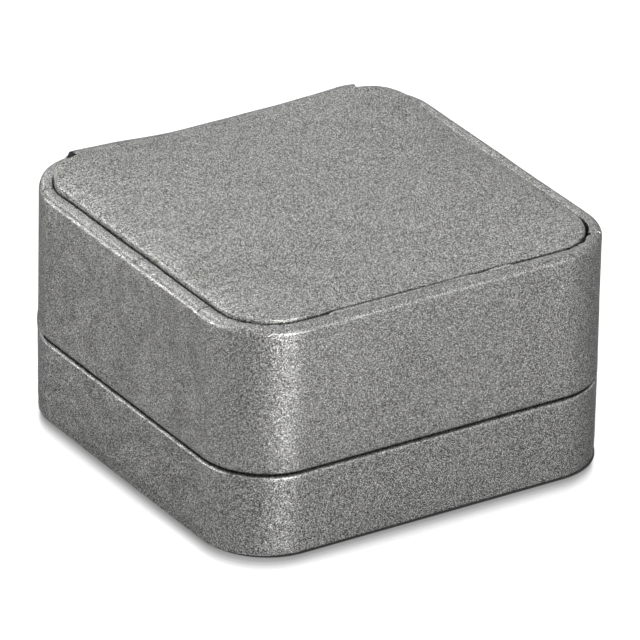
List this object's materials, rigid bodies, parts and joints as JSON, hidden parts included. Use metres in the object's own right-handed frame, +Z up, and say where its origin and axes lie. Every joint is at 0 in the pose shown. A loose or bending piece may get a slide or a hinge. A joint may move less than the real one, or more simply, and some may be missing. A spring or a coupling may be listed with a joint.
{
  "type": "ring box",
  "caption": "Hinged ring box: a shallow base and a deep lid with rounded corners, wrapped in leatherette, a padded top panel in the lid and a slotted ring pad inside.",
  "frame": {"origin": "centre of the box's footprint, on the surface that it stands on", "axes": "+X along the front to the right, +Y towards the hinge at the back, +Z up"},
  "size_m": [0.064, 0.064, 0.0373],
  "materials": {
    "black_board": "matt paper-covered board",
    "shell_plastic": "moulded, matt",
    "grey_leatherette": "satin steel-grey leatherette with a fine pearly grain",
    "liner_card": "card with black flocked facing",
    "plain_card": "uncoated grey board",
    "foam": "soft open foam",
    "suede": "short-napped suede cloth",
    "satin_cloth": "woven satin cloth",
    "plated_steel": "nickel-plated sheet steel"
  },
  "bodies": {
    "base": {"bottom_board": "black_board", "base_shell": "shell_plastic", "base_wrap": "grey_leatherette", "base_liner": "liner_card", "insert_card": "plain_card", "foam_roll_front": "foam", "foam_roll_rear": "foam", "ring_pad_cover": "suede", "hinge_leaf_base": "plated_steel", "hinge_pin": "plated_steel", "hinge_rivets_base": "plated_steel", "snap_spring": "plated_steel", "hinge_cover": "grey_leatherette"},
    "lid": {"lid_shell": "shell_plastic", "lid_wrap": "grey_leatherette", "lid_liner": "liner_card", "panel_card": "plain_card", "panel_foam": "foam", "panel_cover": "grey_leatherette", "ceiling_card": "plain_card", "ceiling_foam": "foam", "ceiling_cover": "satin_cloth", "hinge_leaf_lid": "plated_steel", "hinge_rivets_lid": "plated_steel"}
  },
  "joints": [
    {"name": "lid_hinge", "type": "hinge", "parent": "base", "child": "lid", "pos_m": [0, 0.03135, 0.0128], "axis": [-1, 0, 0], "range_deg": [0, 95], "deforming": ["hinge_cover", "snap_spring"]}
  ]
}
